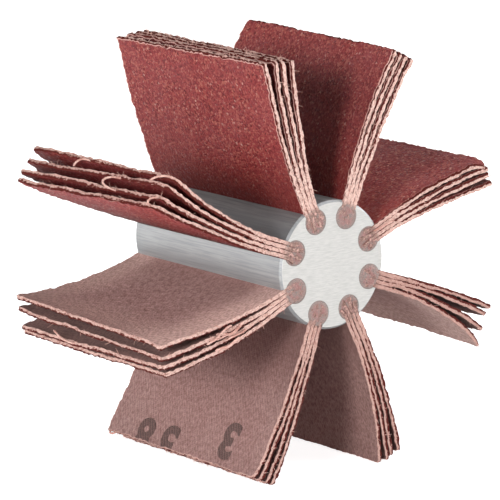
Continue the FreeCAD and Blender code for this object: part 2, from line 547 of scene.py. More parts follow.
@dataclass(frozen=True)
class TwillBacking(Recipe):
    """Bare twill cotton on the back of the cloth, stained by the glue, with painted shade near the hub and in the
    twill's grooves, and painted light near the edges.
    """

    NAME = "twill_backing"

    slub_mm: float = 0.34
    cloud_mm: float = 1.1
    patch_mm: float = 9.0
    fray_mm: float = 0.09
    edge_light_mm: tuple[float, float] = (12.0, 2.0)  # distances from an edge between which painted light makes the cloth paler
    # painted shade near the hub, as on the grit side
    hub_shade_mm: float = 12.0
    relief: float = 0.05 * MM
    light: Colour = srgb(192, 156, 150)
    mid: Colour = srgb(172, 134, 129)
    dark: Colour = srgb(122, 86, 81)
    # soaked is the colour of the painted shade near the hub
    soaked: Colour = srgb(114, 79, 74)
    # bared is the colour of fibres bared at a cut edge, and also of the painted light near the edges
    bared: Colour = srgb(214, 176, 166)

    def draw(self, nodes: NodeSketch, effects: Effects) -> None:
        """Draw the nodes of a flap's cloth side."""
        cloth = Cloth.read(nodes)
        place = cloth.place
        twill = effects.twill.placed(nodes, Place=place, **TWILL)
        mottle = effects.mottle.placed(nodes, Place=place, Size=self.patch_mm)
        fray = effects.fray.placed(nodes, Place=place, Edge=cloth.edge, Width=self.fray_mm)
        slubs = nodes.noise(nodes.stretched(place, (1.0, 0.5, 1.0)), self.slub_mm, 3.0, 0.7)
        ground = nodes.mixed(nodes.times(mottle["Patch"], 0.6), self.mid, self.light)
        # Painted light: in lots with a faint weave, the cloth grows paler towards its edges, where the next flaps
        # shade it less.
        edge_lit = nodes.times(nodes.between(cloth.edge, *self.edge_light_mm), nodes.minus(1.0, cloth.weave))
        lit_rim = nodes.mixed(edge_lit, ground, self.bared)
        uneven = nodes.mixed(nodes.between(slubs, 0.38, 0.6, 0.6, 0.0), lit_rim, self.dark)
        cloud = nodes.between(nodes.noise(place, self.cloud_mm, 3.0, 0.65), 0.38, 0.6, 1.0, 0.0)
        clouding = nodes.times(cloud, nodes.scaled(cloth.weave, -0.45, 0.78))
        clouding = nodes.times(clouding, nodes.scaled(edge_lit, -1.1, 1.0))
        clouded = nodes.mixed(clouding, uneven, self.dark)
        # Painted shade in the twill's grooves.
        groove = nodes.times(twill["Groove"], cloth.weave)
        groove_shaded = nodes.mixed(nodes.times(groove, 0.42), clouded, self.dark)
        flecked = nodes.mixed(nodes.times(mottle["Fleck"], 0.4), groove_shaded, self.light)
        # Painted shade: darker towards the hub, less where the edge is painted lit
        hub_shading = nodes.between(cloth.mouth, self.hub_shade_mm, -1.0, 0.0, 0.6)
        hub_shading = nodes.times(hub_shading, nodes.between(edge_lit, 0.4, 0.8, 1.0, 0.3))
        soaked = nodes.mixed(hub_shading, flecked, self.soaked)
        rib = nodes.times(twill["Height"], cloth.weave)
        height = nodes.scaled(rib, 0.6, nodes.times(slubs, 3.6))
        surface(
            nodes,
            Base_Color=nodes.mixed(nodes.times(fray["Bare"], 0.8), cloth.tinted(nodes, soaked), self.bared),
            Roughness=0.92,
            Specular_IOR_Level=0.08,
            Sheen_Weight=0.03,
            Sheen_Roughness=0.5,
            Normal=nodes.bump(height, self.relief, 0.9),
        )


@dataclass(frozen=True)
class CutEdge(Recipe):
    """Sheared edge of the cloth: pale fibres with dark pits of painted shade, and the grit coat as a dark line on
    one side, widened with painted shade of the gap beside it.
    """

    NAME = "cut_edge"

    wander_mm: float = 0.62
    pit_mm: float = 0.48
    speck_mm: float = 0.42
    fray_mm: float = 0.1
    relief: float = 0.08 * MM
    pale: Colour = srgb(242, 214, 202)
    pink: Colour = srgb(218, 174, 163)
    pit_shade: Colour = srgb(142, 92, 84)
    coat: Colour = srgb(92, 40, 36)
    grimy: Colour = srgb(172, 126, 116)
    soaked: Colour = srgb(138, 110, 102)
    root_pit: Colour = srgb(98, 74, 66)
    root_pink: Colour = srgb(210, 166, 158)

    def draw(self, nodes: NodeSketch, effects: Effects) -> None:
        """Draw the nodes of a flap's cut edges."""
        cloth = Cloth.read(nodes)
        place = cloth.place
        fray = effects.fray.placed(nodes, Place=place, Edge=cloth.edge, Width=self.fray_mm)
        through = nodes.parts(place)[2]
        at_tip = nodes.between(cloth.tip, 0.6, 0.2)
        wander = nodes.minus(nodes.noise(place, self.wander_mm, 2.0, 0.6), 0.5)
        wander = nodes.times(wander, nodes.scaled(at_tip, 0.5, 0.75))
        depth = nodes.plus(through, wander)
        # The coat's colour covers more than the real coat: the rest is painted shade of the gap beside the edge.
        coat_share = nodes.times(cloth.coat, nodes.between(cloth.mouth, 1.0, 10.0, 0.3, 1.0))
        coat = nodes.between(nodes.plus(depth, coat_share), 0.93, 1.05)
        # Painted shade: dark pits between the knots of fibre on the cut edge, more at the tip.
        pits = nodes.between(nodes.noise(place, self.pit_mm, 3.0, 0.65), 0.48, 0.66)
        fibres = nodes.mixed(nodes.between(fray["Fibre"], 0.35, 0.65), self.pink, self.pale)
        pitting = nodes.times(pits, nodes.scaled(at_tip, 0.35, 0.6))
        pitted = nodes.mixed(pitting, fibres, self.pit_shade)
        grimy = nodes.mixed(cloth.grime, pitted, self.grimy)
        lined = nodes.mixed(coat, grimy, self.coat)
        in_slot = nodes.between(cloth.mouth, 0.4, -1.2, 0.0, 0.75)
        speck = nodes.noise(place, self.speck_mm, 2.0, 0.65)
        root = nodes.ramp(
            speck, (0.4, self.root_pit), (0.48, self.soaked), (0.55, self.soaked), (0.63, self.root_pink)
        )
        surface(
            nodes,
            Base_Color=nodes.mixed(in_slot, lined, root),
            Roughness=0.95,
            Specular_IOR_Level=0.08,
            Normal=nodes.bump(fray["Fibre"], self.relief),
        )


@dataclass(frozen=True)
class Yarn(Recipe):
    """Loose cotton fibres and yarns, pale where the glue hasn't stained them."""

    NAME = "cotton_yarn"

    patch: float = 1.2 * MM
    twist: float = 0.12 * MM
    relief: float = 0.03 * MM
    pale: Colour = srgb(236, 198, 186)
    stained: Colour = srgb(198, 146, 134)

    def draw(self, nodes: NodeSketch, effects: Effects) -> None:
        """Draw the nodes of fibres and yarns."""
        place = nodes.own_place()
        mottle = effects.mottle.placed(nodes, Place=place, Size=self.patch)
        twist = nodes.noise(place, self.twist, 2.0)
        surface(
            nodes,
            Base_Color=nodes.mixed(mottle["Patch"], self.stained, self.pale),
            Roughness=0.95,
            Specular_IOR_Level=0.08,
            Normal=nodes.bump(twist, self.relief),
        )


@dataclass(frozen=True)
class CuredResin(Recipe):
    """Cured resin in the slots, dull brown-grey with cloth dust in it."""

    NAME = "cured_resin"

    grain: float = 0.22 * MM
    stain: float = 0.7 * MM
    patch: float = 1.6 * MM
    relief: float = 0.12 * MM
    grey: Colour = srgb(126, 119, 114)
    brown: Colour = srgb(146, 104, 100)
    dust: Colour = srgb(206, 160, 154)

    def draw(self, nodes: NodeSketch, effects: Effects) -> None:
        """Draw the nodes of the resin beads."""
        place = nodes.own_place()
        mottle = effects.mottle.placed(nodes, Place=place, Size=self.patch)
        from_middle = nodes.stored("from_middle", "Fac")
        patch = nodes.between(nodes.noise(place, self.stain, 3.0), 0.34, 0.6)
        inside = nodes.times(patch, nodes.between(from_middle, 0.55, 0.95, 1.0, 0.0))
        base = nodes.mixed(inside, self.grey, self.brown)
        grain = nodes.noise(place, self.grain, 3.0, 0.65)
        surface(
            nodes,
            Base_Color=nodes.mixed(nodes.times(mottle["Fleck"], 0.6), base, self.dust),
            Roughness=nodes.between(grain, 0.3, 0.7, 0.4, 0.75),
            Normal=nodes.bump(grain, self.relief),
        )


@dataclass(frozen=True)
class Aluminium(Recipe):
    """Drawn aluminium bar with sanded end faces."""

    NAME = "hub_metal"

    skin: float = 0.02 * MM  # how near to an end a place is on its face
    line: float = 0.25 * MM
    band: float = 2.4 * MM
    scratch: float = 0.2 * MM
    patch: float = 4.0 * MM
    relief: float = 0.008 * MM
    bright: Colour = srgb(219, 217, 214)
    dull: Colour = srgb(204, 203, 200)
    side: Colour = srgb(183, 184, 184)
    smear: Colour = srgb(155, 157, 159)

    def draw(self, nodes: NodeSketch, effects: Effects) -> None:
        """Draw the nodes of the hub."""
        place = nodes.own_place()
        along = nodes.parts(place)[1]
        to_front = nodes.maths("GREATER_THAN", nodes.times(along, -1.0), HUB_LENGTH - self.skin)
        to_rear = nodes.maths("GREATER_THAN", along, -self.skin)
        is_end = nodes.maths("MAXIMUM", to_front, to_rear)

        drawn = nodes.stretched(place, (1.0, 0.03, 1.0))
        lines = nodes.noise(drawn, self.line, 4.0, 0.6)
        bands = nodes.between(nodes.noise(drawn, self.band, 2.0, 0.5), 0.42, 0.58)
        sanded = nodes.stretched(place, (0.12, 1.0, 1.0))
        scratches = nodes.noise(sanded, self.scratch, 4.0, 0.65)
        mottle = effects.mottle.placed(nodes, Place=place, Size=self.patch)

        end = nodes.mixed(nodes.between(scratches, 0.35, 0.65), self.dull, self.bright)
        wall = nodes.mixed(nodes.between(lines, 0.3, 0.62), self.smear, self.side)
        banded = nodes.mixed(nodes.times(bands, 0.5), wall, self.smear)
        patched = nodes.mixed(nodes.times(mottle["Patch"], 0.2), banded, self.smear)
        grain = nodes.add("Mix", {"data_type": "FLOAT"})
        for index, value in ((0, is_end), (2, lines), (3, scratches)):
            nodes.feed(grain.inputs[index], value)
        rough = nodes.between(grain.outputs[0], 0.3, 0.7, 0.58, 0.66)
        relief = nodes.times(grain.outputs[0], nodes.scaled(is_end, 0.7, 0.3))
        surface(
            nodes,
            Base_Color=nodes.mixed(is_end, patched, end),
            Metallic=1.0,
            Roughness=nodes.scaled(is_end, -0.2, rough),
            Normal=nodes.bump(relief, self.relief),
        )


@dataclass(frozen=True)
class PrintedInk(Recipe):
    """Dark grey-brown ink, rolled thinly on the twill."""

    NAME = "printed_ink"

    patch_mm: float = 4.0
    relief: float = 0.05 * MM
    ink: Colour = srgb(82, 62, 58)
    worn: Colour = srgb(134, 102, 97)

    def draw(self, nodes: NodeSketch, effects: Effects) -> None:
        """Draw the nodes of the printed numbers."""
        place = nodes.stored("cut_mm")
        twill = effects.twill.placed(nodes, Place=place, **TWILL)
        mottle = effects.mottle.placed(nodes, Place=place, Size=self.patch_mm)
        thin = nodes.times(nodes.plus(mottle["Fleck"], twill["Groove"]), 0.34)
        surface(
            nodes,
            Base_Color=nodes.mixed(thin, self.ink, self.worn),
            Roughness=0.85,
            Normal=nodes.bump(twill["Height"], self.relief, 0.8),
        )


class Finish(Enum):
    """The finishes of the object's pieces, by the record's material slot."""

    ALUMINIUM = "hub_aluminium"
    CLOTH = "grit_cloth"
    RESIN = "slot_resin"


def make_materials() -> None:
    """Make every material of the object."""
    effects = Effects()
    for recipe in (GritCoat(), TwillBacking(), CutEdge(), Yarn(), CuredResin(), Aluminium(), PrintedInk()):
        recipe.make(effects)


def dress(piece: bpy.types.Object, *names: str) -> None:
    """Give a piece its materials, in the order of its slots."""
    piece.data.materials.clear()
    for name in names:
        piece.data.materials.append(bpy.data.materials[name])


def attach(piece: bpy.types.Object) -> None:
    """Make a piece ride on the wheel and log its number of faces."""
    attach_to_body(piece, BODY)
    log.info("%s: %d faces", piece.name, len(piece.data.polygons))


def front_outline(node: str) -> np.ndarray:
    """Corners of a CAD node's front face, in order.

    Args:
        node: the CAD node's name.

    Returns:
        The corners as rows of x and z.
    """
    solid = bmesh.new()
    solid.from_mesh(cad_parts[node].data)
    bmesh.ops.remove_doubles(solid, verts=solid.verts, dist=WELD)
    front = min(vertex.co.y for vertex in solid.verts) + WELD
    is_front = {face: all(vertex.co.y < front for vertex in face.verts) for face in solid.faces}
    beside: dict[bmesh.types.BMVert, list[bmesh.types.BMVert]] = {}
    for edge in solid.edges:
        if sum(is_front[face] for face in edge.link_faces) == 1:
            for vertex in edge.verts:
                beside.setdefault(vertex, []).append(edge.other_vert(vertex))
    walk = [next(iter(beside))]
    while len(walk) < len(beside):
        last = walk[-1]
        walk.append(next(vertex for vertex in beside[last] if vertex not in walk[-2:] and vertex is not last))
    corners = np.array([(vertex.co.x, vertex.co.z) for vertex in walk])
    solid.free()
    return corners


class MiddleLine:
    """Middle line of a flap in the wheel's plane, walked from its root."""

    SPARE = 1.5 * MM  # how far it runs on past the tip, for the ragged edge
    STEP = 0.1 * MM
    CORNER = math.radians(45)  # least turn of the outline that counts as a corner

    def __init__(self, node: str, thickness: float) -> None:
        """Read the line from the flap's CAD node.

        Args:
            node: the CAD node's name.
            thickness: the flap's thickness.
        """
        side, other = self.sides(front_outline(node))
        steps = np.linalg.norm(np.diff(side, axis=0), axis=1)
        walked = np.concatenate(([0.0], np.cumsum(steps)))
        headings = np.unwrap(np.arctan2(*np.diff(side, axis=0).T[::-1]))
        middles = (walked[1:] + walked[:-1]) / 2
        to_other = other[len(other) // 2] - side[len(side) // 2]
        heading = headings[len(headings) // 2]
        grit_is_left = np.cos(heading) * to_other[1] - np.sin(heading) * to_other[0] < 0
        inward = -1.0 if grit_is_left else 1.0

        dense = np.linspace(0.0, walked[-1], int(walked[-1] / self.STEP))
        turned = np.interp(dense, middles, headings)
        places = np.column_stack([np.interp(dense, walked, side[:, axis]) for axis in (0, 1)])
        left = np.column_stack((-np.sin(turned), np.cos(turned)))
        places += left * inward * thickness / 2
        lengths = np.concatenate(([0.0], np.cumsum(np.linalg.norm(np.diff(places, axis=0), axis=1))))
        self.length = float(lengths[-1])
        beyond = places[-1] + self.SPARE * np.array((math.cos(turned[-1]), math.sin(turned[-1])))
        self.walked = np.append(lengths, self.length + self.SPARE)
        self.places = np.vstack((places, beyond))
        self.headings = np.append(turned, turned[-1])

    @staticmethod
    def sides(outline: np.ndarray) -> tuple[np.ndarray, np.ndarray]:
        """Split a flap's outline into its two long sides.

        Args:
            outline: the outline's corners.

        Returns:
            The longer side and the shorter one, each from the root to the tip.
        """
        before = outline - np.roll(outline, 1, axis=0)
        after = np.roll(outline, -1, axis=0) - outline
        cross = before[:, 0] * after[:, 1] - before[:, 1] * after[:, 0]
        turn = np.abs(np.arctan2(cross, (before * after).sum(1)))
        corners = np.flatnonzero(turn > MiddleLine.CORNER)
        roots = [i for i in corners if np.hypot(*outline[i]) < HUB_RADIUS]
        start, end = (roots[0], roots[1]) if roots[1] - roots[0] != 1 else (roots[1], roots[0])
        rolled = np.roll(outline, -start, axis=0)
        tips = sorted((i - start) % len(outline) for i in corners if i not in roots)
        one = rolled[: tips[0] + 1]
        two = rolled[tips[-1]:][::-1]
        return (one, two) if len(one) and MiddleLine.run(one) >= MiddleLine.run(two) else (two, one)

    @staticmethod
    def run(points: np.ndarray) -> float:
        """Length of a line of points."""
        return float(np.linalg.norm(np.diff(points, axis=0), axis=1).sum())

    def at(self, walked: np.ndarray) -> tuple[np.ndarray, np.ndarray]:
        """Places and headings at distances from the root."""
        places = np.column_stack([np.interp(walked, self.walked, self.places[:, axis]) for axis in (0, 1)])
        return places, np.interp(walked, self.walked, self.headings)

    def leaves(self, radius: float) -> float:
        """Distance from the root at which the line comes out of a circle about the axis."""
        return float(self.walked[np.hypot(*self.places.T) > radius][0])


@dataclass(frozen=True)
class Lot:
    """How one bundle's cloth differs from another's, as shares or factors; its tone and pallor are mostly painted
    light and shade, for how each bundle faces the lamps.
    """

    # tone and pallor: mostly painted light and shade, brightening or darkening each bundle for how it faces the
    # lamps
    tone: float
    pallor: float  # its green and blue, against its red
    coat: float  # share of the cut edge in the grit coat's colour: the real coat, and beyond it painted shade of the gap beside the edge
    weave: float  # how clear the weave is
    grime: float = 0.0  # how dirty the cut edges are
    tip_coat: float = 0.1  # how much more of the tip's edge gets the coat's colour, which is partly painted shade
    painted_light_along: float = 0.0  # painted light: how much lighter the cloth gets from the slot to the tip
    rear_teeth: float = 1.0  # how ragged the rear edge is, against the front one


LOTS = {
    1: Lot(0.8, 1.0, 0.28, 1.0),
    2: Lot(0.79, 1.04, 0.28, 1.0, tip_coat=0.5),
    3: Lot(1.19, 1.22, 0.4, 1.0, grime=0.1, tip_coat=0.5, painted_light_along=-0.4),
    4: Lot(1.16, 1.14, 0.44, 0.6, grime=0.6, painted_light_along=-0.1),
    5: Lot(0.72, 0.98, 0.58, 0.6, grime=0.5),
    6: Lot(0.86, 1.04, 0.54, 1.0, grime=0.4),
    7: Lot(1.15, 1.04, 0.34, 0.2, grime=0.1),
    8: Lot(0.88, 0.96, 0.46, 1.0, grime=0.15, tip_coat=0.05, painted_light_along=1.1, rear_teeth=2.2),
}
INNER_SHADE = 0.46  # painted shade of the faces that look into a bundle, between its layers
# painted red bounce light on the inner faces: their green and blue, against their red
INNER_BOUNCE_PALLOR = 0.88
TIP_GRIME = 0.25  # how much dirtier the tip's edge is
PAINTED_LIGHT_MIDDLE = 0.6  # share of the length at which the painted light along the flap leaves the tone as it is


class Face(IntEnum):
    """Material slots of a flap's mesh."""

    GRIT = 0
    BACKING = 1
    CUT = 2


@dataclass(frozen=True)
class Warp:
    """How a flap's free end departs from its CAD node, at the tip, in millimetres.

    A lift is towards the flap's cloth side, and a reach outwards. The curl lifts the front corner alone.
    """

    front_lift: float = 0.0
    front_reach: float = 0.0
    rear_lift: float = 0.0
    rear_reach: float = 0.0
    front_curl: float = 0.0


@dataclass
class Flap:
    """One flap of grit cloth."""

    bundle: int
    layer: int
    corner_wear: tuple[float, float]  # of the front and the rear corner, in millimetres
    warp: Warp
    cells: tuple[float, float] = (0.72 * MM, 0.44 * MM)  # across and along
    width: float = HUB_LENGTH
    thickness: float = 0.65 * MM
    rim_cuts: int = 3
    smooth_deg: float = 55.0  # a sharper edge than this stays sharp
    rim_reach: float = 0.9 * MM  # how far in from an edge its raggedness pulls the cloth
    lump_reach: float = 0.7 * MM
    wave_reach: float = 1.6 * MM
    curl_reach: float = 4.5 * MM
    ripple: float = 0.1 * MM
    edge_wave: float = 0.12 * MM
    fine_wave: float = 0.05 * MM
    side_fray: float = 0.18 * MM
    tip_fray: float = 0.24 * MM
    lump: float = 0.1 * MM
    chip: float = 0.16 * MM
    bulge: float = 0.06 * MM
    grain: float = 0.045 * MM
    frees: tuple[float, float] = (-0.5 * MM, 6 * MM)  # distances past the slot's mouth over which it comes free
    tip_zone: tuple[float, float] = (3 * MM, 0.5 * MM)
    tip_waviness: float = 1.3
    wave_mm: tuple[float, float] = (9.0, 3.9)  # sizes of humps, across and along
    tip_wave_mm: tuple[float, float] = (9.0, 4.6)
    small_wave_mm: tuple[float, float] = (1.35, 1.35)
    fine_wave_mm: tuple[float, float] = (0.62, 0.62)
    ripple_mm: tuple[float, float] = (11.0, 8.0)
    lump_mm: tuple[float, float] = (0.5, 0.5)
    chip_mm: tuple[float, float] = (0.6, 0.6)
    tooth_mm: float = 1.1
    fine_tooth_mm: float = 0.33
    coat_from: float = 0.7  # share of the thickness at which the grit coat begins
    side_looseness: float = 0.9
    held_looseness: float = 0.25  # how ragged the cloth is where the slot holds it
    line: MiddleLine = field(init=False)
    mouth: float = field(init=False)
    piece: bpy.types.Object | None = field(init=False, default=None)

    CLOTH_STEP_MM = 41.0  # how much further along the roll each flap was cut
    ON_EDGE = 1e-7  # how near to an edge a vertex lies on it

    def __post_init__(self) -> None:
        """Read the middle line."""
        self.line = MiddleLine(self.node, self.thickness)
        self.mouth = self.line.leaves(HUB_RADIUS)

    @property
    def node(self) -> str:
        """Name of the flap's CAD node."""
        return f"flap_{self.bundle}_{self.layer}"

    @property
    def seed(self) -> int:
        """Start of the flap's own random values."""
        return 1000 * self.bundle + 100 * self.layer

    @property
    def lot(self) -> Lot:
        """The bundle's lot of cloth."""
        return LOTS[self.bundle]

    def flat_solid(self) -> bpy.types.Object:
        """Cut the cloth flat: x across it from its rear edge, y along it from its root, grit upwards."""
        start_afresh()
        columns, rows = (round(size / cell) for size, cell in zip((self.width, self.line.length), self.cells))
        bpy.ops.mesh.primitive_grid_add(x_subdivisions=columns, y_subdivisions=rows, size=1.0, calc_uvs=False)
        sheet = bpy.context.active_object
        sheet.name = f"cloth_{self.node}"
        with editing("SELECT"):
            bpy.ops.transform.translate(value=(0.5, 0.5, 0.0))
            bpy.ops.transform.resize(value=(self.width, self.line.length, 1.0), center_override=(0.0, 0.0, 0.0))
        dress(sheet, GritCoat.NAME, TwillBacking.NAME, CutEdge.NAME)
        apply_modifier(
            "SOLIDIFY",
            thickness=self.thickness, offset=0.0, material_offset=Face.BACKING, material_offset_rim=Face.CUT,
        )
        subdivide_edges(lambda edge: all(face.material_index == Face.CUT for face in edge.link_faces), self.rim_cuts)
        return sheet

    def roughened(self, flat: np.ndarray) -> np.ndarray:
        """Move the flat cloth's vertices for grains, ragged edges, lumps and ripples.

        Args:
            flat: places across, along and through the flat cloth.

        Returns:
            The places moved.
        """
        across, along, height = flat.T.copy()
        through = height / self.thickness + 0.5
        from_rear, from_front, from_tip = across, self.width - across, self.line.length - along
        edge = np.minimum(np.minimum(from_rear, from_front), from_tip)
        free = smooth_step(self.mouth + self.frees[0], self.mouth + self.frees[1], along)
        loose = self.held_looseness + (1 - self.held_looseness) * free
        is_rim = edge < self.ON_EDGE

        def humps(extra: int, sizes_mm: tuple[float, float], shift: float = 0.0) -> np.ndarray:
            """Random values over the cloth, with humps of these sizes across and along."""
            wide, long = (size * MM for size in sizes_mm)
            return random_surface(self.seed + extra, across / wide + shift, along / long)

        near_edge = np.clip(1 - edge / self.wave_reach, 0, 1) ** 2
        wave = humps(0, self.wave_mm, 0.5) * self.edge_wave
        deep, wide = (size * MM for size in self.tip_wave_mm)
        tip_wave = random_surface(self.seed + 1, along / deep, across / wide) * self.edge_wave
        small_waves = (humps(7, self.small_wave_mm) + humps(6, self.fine_wave_mm)) * self.fine_wave
        at_tip = smooth_step(*self.tip_zone, from_tip)
        waves = wave * (1 - at_tip) + tip_wave * at_tip * self.tip_waviness + small_waves
        bend = humps(2, self.ripple_mm) * self.ripple * free + near_edge * free * waves

        swell = np.clip(1 - edge / self.lump_reach, 0, 1) * (0.4 + humps(3, self.lump_mm)) * self.lump * loose
        grit = np.random.default_rng(self.seed + 4).uniform(-1, 1, len(flat)) * self.grain * loose
        height += bend + swell * (2 * through - 1) + np.where((through > 0.999) & ~is_rim, grit, 0)

        chipped = smooth_step(self.coat_from, 1.0, through) * self.chip * loose
        chipped = chipped * (0.6 + 0.6 * humps(5, self.chip_mm))
        bulged = self.bulge * (1 - (2 * through - 1) ** 2) * is_rim

        def ragged(extra: int, place: np.ndarray, inwards: np.ndarray, fray: float, least: float) -> np.ndarray:
            """How far outwards the cloth is pushed near one edge.

            Args:
                extra: picks the edge's random values.
                place: places along the edge.
                inwards: distances from the edge.
                fray: how ragged the edge is.
                least: least looseness of its teeth.

            Returns:
                One distance for each vertex.
            """
            coarse = random_surface(self.seed + extra, through * 0.8, place / (self.tooth_mm * MM))
            fine = random_surface(self.seed + extra + 1, through * 3.0, place / (self.fine_tooth_mm * MM))
            teeth = (0.4 * coarse + 0.75 * fine) * fray * np.maximum(loose, least)
            return np.clip(1 - inwards / self.rim_reach, 0, 1) * (teeth - chipped + bulged)

        rear_fray = self.side_fray * self.lot.rear_teeth
        across = across + ragged(10, along, from_front, self.side_fray, self.side_looseness)
        across = across - ragged(20, along, from_rear, rear_fray, self.side_looseness)
        along = along + ragged(30, across, from_tip, self.tip_fray, 0.0)
        for is_front, wear in zip((True, False), self.corner_wear):
            side = self.width - across if is_front else across
            side, tip = self.worn_corner(side, self.line.length - along, wear * MM)
            across, along = (self.width - side if is_front else side), self.line.length - tip
        return np.column_stack((across, along, height))

    @staticmethod
    def worn_corner(side: np.ndarray, tip: np.ndarray, wear: float) -> tuple[np.ndarray, np.ndarray]:
        """Round a square corner off.

        Args:
            side: distances inwards from the corner's one edge.
            tip: distances inwards from its other edge.
            wear: how far from the corner the rounding starts.

        Returns:
            Both distances, changed.
        """
        into_side, into_tip = wear - side, wear - tip
        is_near = (into_side > 0) & (into_tip > 0)
        square = np.maximum(into_side, into_tip)
        shrink = np.where(is_near, square / np.maximum(np.hypot(into_side, into_tip), TINY), 1.0)
        return wear - into_side * shrink, wear - into_tip * shrink

    def bent(self, flat: np.ndarray) -> np.ndarray:
        """Bend flat cloth along the flap's middle line.

        Args:
            flat: places across, along and through the flat cloth.

        Returns:
            The same places on the wheel.
        """
        across, along, height = flat.T
        places, headings = self.line.at(along)
        outward = np.column_stack((np.cos(headings), np.sin(headings)))
        to_grit = np.column_stack((-np.sin(headings), np.cos(headings)))
        rearward = np.clip(1 - across / self.width, 0, 1)
        free = np.clip((along - self.mouth) / (self.line.length - self.mouth), 0, 1)
        warp = self.warp
        lift = warp.front_lift * MM * (1 - rearward) + warp.rear_lift * MM * rearward
        from_corner = np.hypot(self.width - across, self.line.length - along)
        curl = warp.front_curl * MM * np.clip(1 - from_corner / self.curl_reach, 0, 1) ** 2
        places = places + to_grit * (height - lift * free**2 - curl)[:, None]
        reach = warp.front_reach * MM * (1 - rearward) + warp.rear_reach * MM * rearward
        places = places + outward * (reach * free**2)[:, None]
        return np.column_stack((places[:, 0], -across, np.maximum(places[:, 1], FLOOR)))

    def build(self) -> None:
        """Make the flap."""
        sheet = self.flat_solid()
        flat = coordinates_of(sheet.data)
        self.mark_places(sheet.data, flat)
        put_coordinates(sheet.data, self.bent(self.roughened(flat)))
        bpy.ops.object.shade_smooth_by_angle(angle=math.radians(self.smooth_deg))
        attach(sheet)
        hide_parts(self.node)
        self.piece = sheet

    def mark_places(self, mesh: bpy.types.Mesh, flat: np.ndarray) -> None:
        """Store for the materials where on the flat cloth each vertex was.

        Args:
            mesh: the mesh of the flap, or of something on it.
            flat: the vertices' places across, along and through the flat cloth.
        """
        cut = flat / MM
        cut[:, 2] = flat[:, 2] / self.thickness + 0.5
        cut[:, 1] += self.CLOTH_STEP_MM * (len(LAYERS) * self.bundle + self.layer)
        from_tip = self.line.length - flat[:, 1]
        edge = np.minimum(np.minimum(flat[:, 0], self.width - flat[:, 0]), from_tip)
        put_attribute(mesh, "cut_mm", cut)
        put_attribute(mesh, "reach_mm", np.column_stack((flat[:, 1] - self.mouth, from_tip, edge)) / MM)
        # Faces that look into a bundle get painted shade and painted red bounce light.
        outer = np.where(flat[:, 2] > 0, self.layer == min(LAYERS), self.layer == max(LAYERS))
        lot, is_tip = self.lot, from_tip < self.ON_EDGE
        # Painted light along the flap.
        painted_light_along = 1 + lot.painted_light_along * (flat[:, 1] / self.line.length - PAINTED_LIGHT_MIDDLE)
        # The lot's tone and pallor are mostly painted light and shade for how the bundle faces the lamps.
        tone = lot.tone * np.where(outer, 1.0, INNER_SHADE) * painted_light_along
        pale = tone * lot.pallor * np.where(outer, 1.0, INNER_BOUNCE_PALLOR)
        put_attribute(mesh, "tint_and_painted_shade", np.column_stack((tone, pale, pale)))
        shares = (lot.coat + lot.tip_coat * is_tip, np.full(len(flat), lot.weave), lot.grime + TIP_GRIME * is_tip)
        put_attribute(mesh, "cloth_lot", np.column_stack(shares))

    def declare(self, hanging: list[bpy.types.Object]) -> None:
        """Do nothing with the flap.

        Args:
            hanging: the pieces that hang on it; not used.
        """


def curve_piece(name: str, path: np.ndarray, radius: float) -> bpy.types.Object:
    """Draw a smooth round strand through control points and make it a closed mesh.

    Args:
        name: the new piece's name.
        path: control points, one row each.
        radius: the strand's radius.

    Returns:
        The mesh object.
    """
    start_afresh()
    bpy.ops.curve.primitive_nurbs_path_add()
    strand = bpy.context.active_object
    strand.name = name
    line = strand.data.splines[0]
    line.points.add(len(path) - len(line.points))
    for point, place in zip(line.points, path):
        point.co = (*place, 1.0)
    line.order_u = 3
    line.use_endpoint_u = True
    line.resolution_u = 2
    strand.data.bevel_depth = radius
    strand.data.bevel_resolution = 1
    strand.data.use_fill_caps = True
    bpy.ops.object.convert(target="MESH")
    bpy.ops.object.transform_apply()
    bpy.ops.object.shade_smooth()
    return strand


def joined(name: str, pieces: list[bpy.types.Object]) -> bpy.types.Object:
    """Join mesh pieces into one.

    Args:
        name: the joined piece's name.
        pieces: the pieces, of which the first is kept.

    Returns:
        The joined piece.
    """
    start_afresh()
    for piece in pieces:
        piece.select_set(True)
    bpy.context.view_layer.objects.active = pieces[0]
    bpy.ops.object.join()
    pieces[0].name = name
    return pieces[0]


